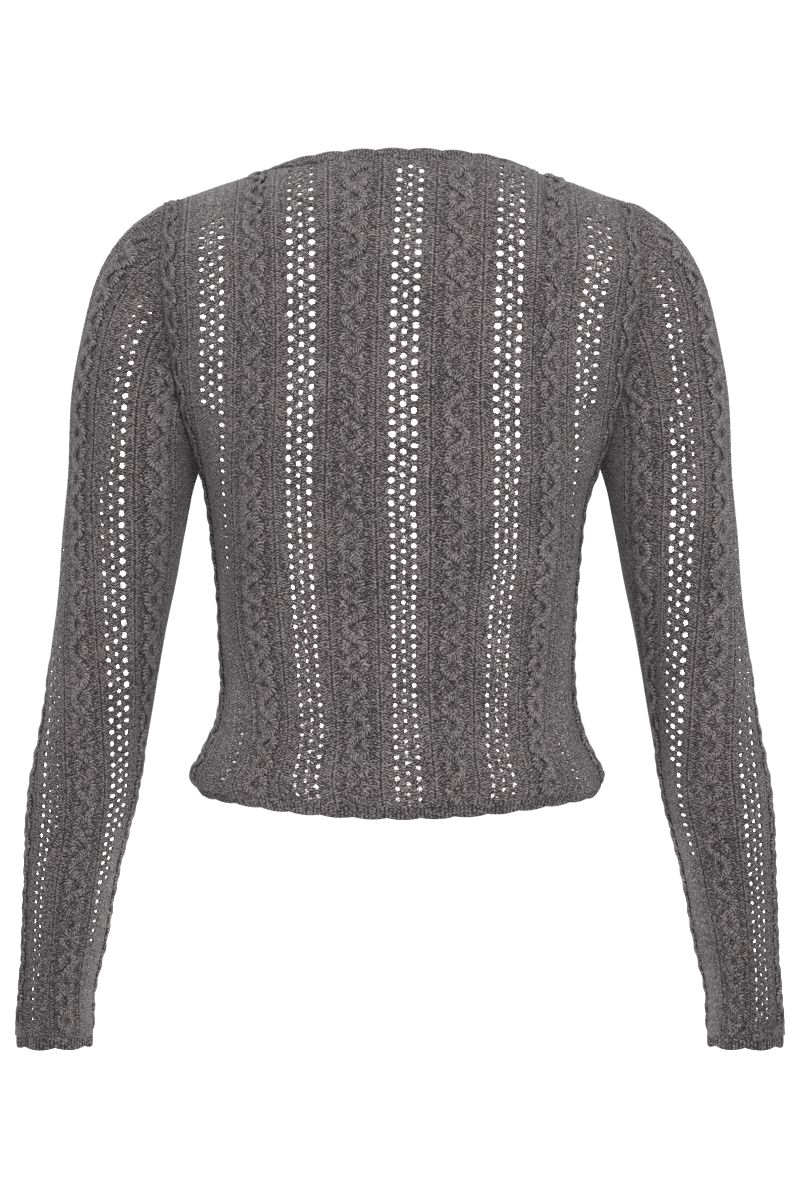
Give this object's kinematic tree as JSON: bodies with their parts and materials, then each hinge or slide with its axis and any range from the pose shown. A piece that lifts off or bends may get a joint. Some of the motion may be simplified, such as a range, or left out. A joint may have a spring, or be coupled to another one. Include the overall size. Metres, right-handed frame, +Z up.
{
  "type": "cable knit cardigan",
  "caption": "Long-sleeved button-front cardigan in cable and eyelet knit with narrow scalloped trims, in its worn shape, hollow and open at neck, hem and cuffs.",
  "frame": {"origin": "midway between the tops of the shoulders, where the garment hangs on the wearer", "axes": "+Z up, +Y out of the garment's front, +X to the wearer's right"},
  "size_m": [0.5412, 0.2162, 0.6258],
  "materials": {
    "knit": "grey marl knit, soft and matt",
    "rib": "grey marl rib knit, matt",
    "button": "semi-gloss"
  },
  "bodies": {
    "root": {"back": "knit", "front_left": "knit", "front_right": "knit", "sleeve_left": "knit", "sleeve_right": "knit", "neck_trim": "rib", "hem_trim_back": "rib", "hem_trim_left": "rib", "hem_trim_right": "rib", "cuff_trim_left": "rib", "cuff_trim_right": "rib", "button_band": "rib", "buttonhole_band": "rib", "button_1": "button", "button_2": "button", "button_3": "button", "button_4": "button", "button_5": "button", "button_6": "button", "button_7": "button"}
  },
  "joints": []
}
